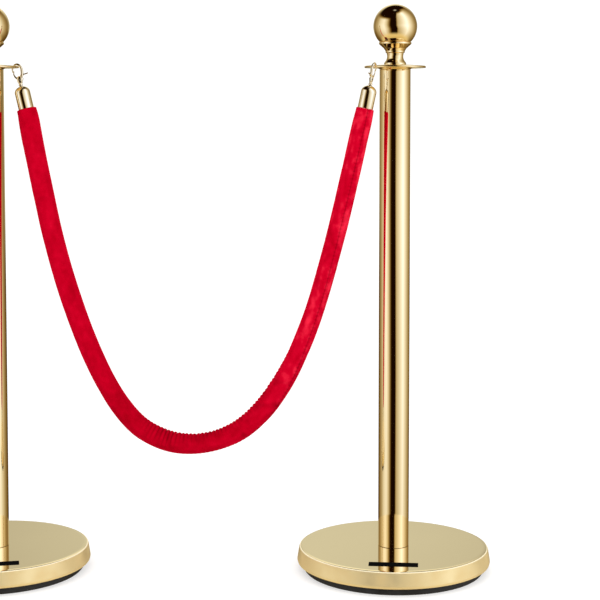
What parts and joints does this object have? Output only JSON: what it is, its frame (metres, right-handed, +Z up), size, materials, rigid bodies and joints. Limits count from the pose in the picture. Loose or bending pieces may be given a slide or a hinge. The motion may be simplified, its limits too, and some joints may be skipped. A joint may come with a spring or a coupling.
{
  "type": "rope stanchion pair",
  "caption": "Two ball-top polished posts on weighted round bases, joined by a hanging velvet rope whose lobster-claw hooks clip into ring plates.",
  "frame": {"origin": "on the floor, midway between the two posts", "axes": "+X from the left post to the right one, +Y away from the viewer, +Z up"},
  "size_m": [0.9884, 0.3204, 0.9372],
  "materials": {
    "gold": "mirror-polished gold plating",
    "steel": "zinc-plated, satin",
    "iron": "rough cast, painted",
    "rubber": "matt moulded rubber",
    "label": "semi-gloss, blank",
    "velvet": "short-pile red velvet",
    "cotton": "twisted cotton core"
  },
  "bodies": {
    "posts": {"left_rubber_boot": "rubber", "left_base_weight": "iron", "left_base_cover": "gold", "left_base_bolt": "steel", "left_base_washer": "steel", "left_base_label": "label", "left_tube_foot_plug": "steel", "left_post_tube": "gold", "left_tube_top_plug": "steel", "left_ring_plate": "gold", "left_finial_stud": "steel", "left_finial_neck": "gold", "left_finial_ball": "gold", "left_ball_nut": "steel", "right_rubber_boot": "rubber", "right_base_weight": "iron", "right_base_cover": "gold", "right_base_bolt": "steel", "right_base_washer": "steel", "right_base_label": "label", "right_tube_foot_plug": "steel", "right_post_tube": "gold", "right_tube_top_plug": "steel", "right_ring_plate": "gold", "right_finial_stud": "steel", "right_finial_neck": "gold", "right_finial_ball": "gold", "right_ball_nut": "steel"},
    "rope": {"velvet_rope": "velvet", "left_ferrule": "gold", "left_core_end": "cotton", "right_ferrule": "gold", "right_core_end": "cotton"},
    "left_hook": {"left_hook_body": "gold", "left_swivel_collar": "steel", "left_trigger_pin": "steel", "left_trigger_spring": "steel"},
    "left_trigger": {"left_trigger": "gold"},
    "right_hook": {"right_hook_body": "gold", "right_swivel_collar": "steel", "right_trigger_pin": "steel", "right_trigger_spring": "steel"},
    "right_trigger": {"right_trigger": "gold"}
  },
  "joints": [
    {"name": "rope_swing", "type": "hinge", "parent": "posts", "child": "rope", "pos_m": [0.00656, -0.01664, 0.8373], "axis": [0.9984, -0.0569, 0], "range_deg": [-14, 14]},
    {"name": "left_hook_swivel", "type": "hinge", "parent": "rope", "child": "left_hook", "pos_m": [-0.27991, -0.0003, 0.8032], "axis": [-0.2246, 0.0128, 0.9744], "range_deg": [-10, 10]},
    {"name": "left_trigger_pivot", "type": "hinge", "parent": "left_hook", "child": "left_trigger", "pos_m": [-0.28081, -0.00025, 0.81377], "axis": [0.0569, 0.9984, 0], "range_deg": [0, 20], "stiffness_Nm_per_rad": 0.02, "springref_deg": -11.46, "deforming": ["left_trigger_spring"]},
    {"name": "right_hook_swivel", "type": "hinge", "parent": "rope", "child": "right_hook", "pos_m": [0.29162, -0.0329, 0.8038], "axis": [0.2076, -0.0118, 0.9781], "range_deg": [-10, 10]},
    {"name": "right_trigger_pivot", "type": "hinge", "parent": "right_hook", "child": "right_trigger", "pos_m": [0.2931, -0.03435, 0.8142], "axis": [0.861, -0.4724, -0.1884], "range_deg": [0, 20], "stiffness_Nm_per_rad": 0.02, "springref_deg": -11.46, "deforming": ["right_trigger_spring"]}
  ]
}
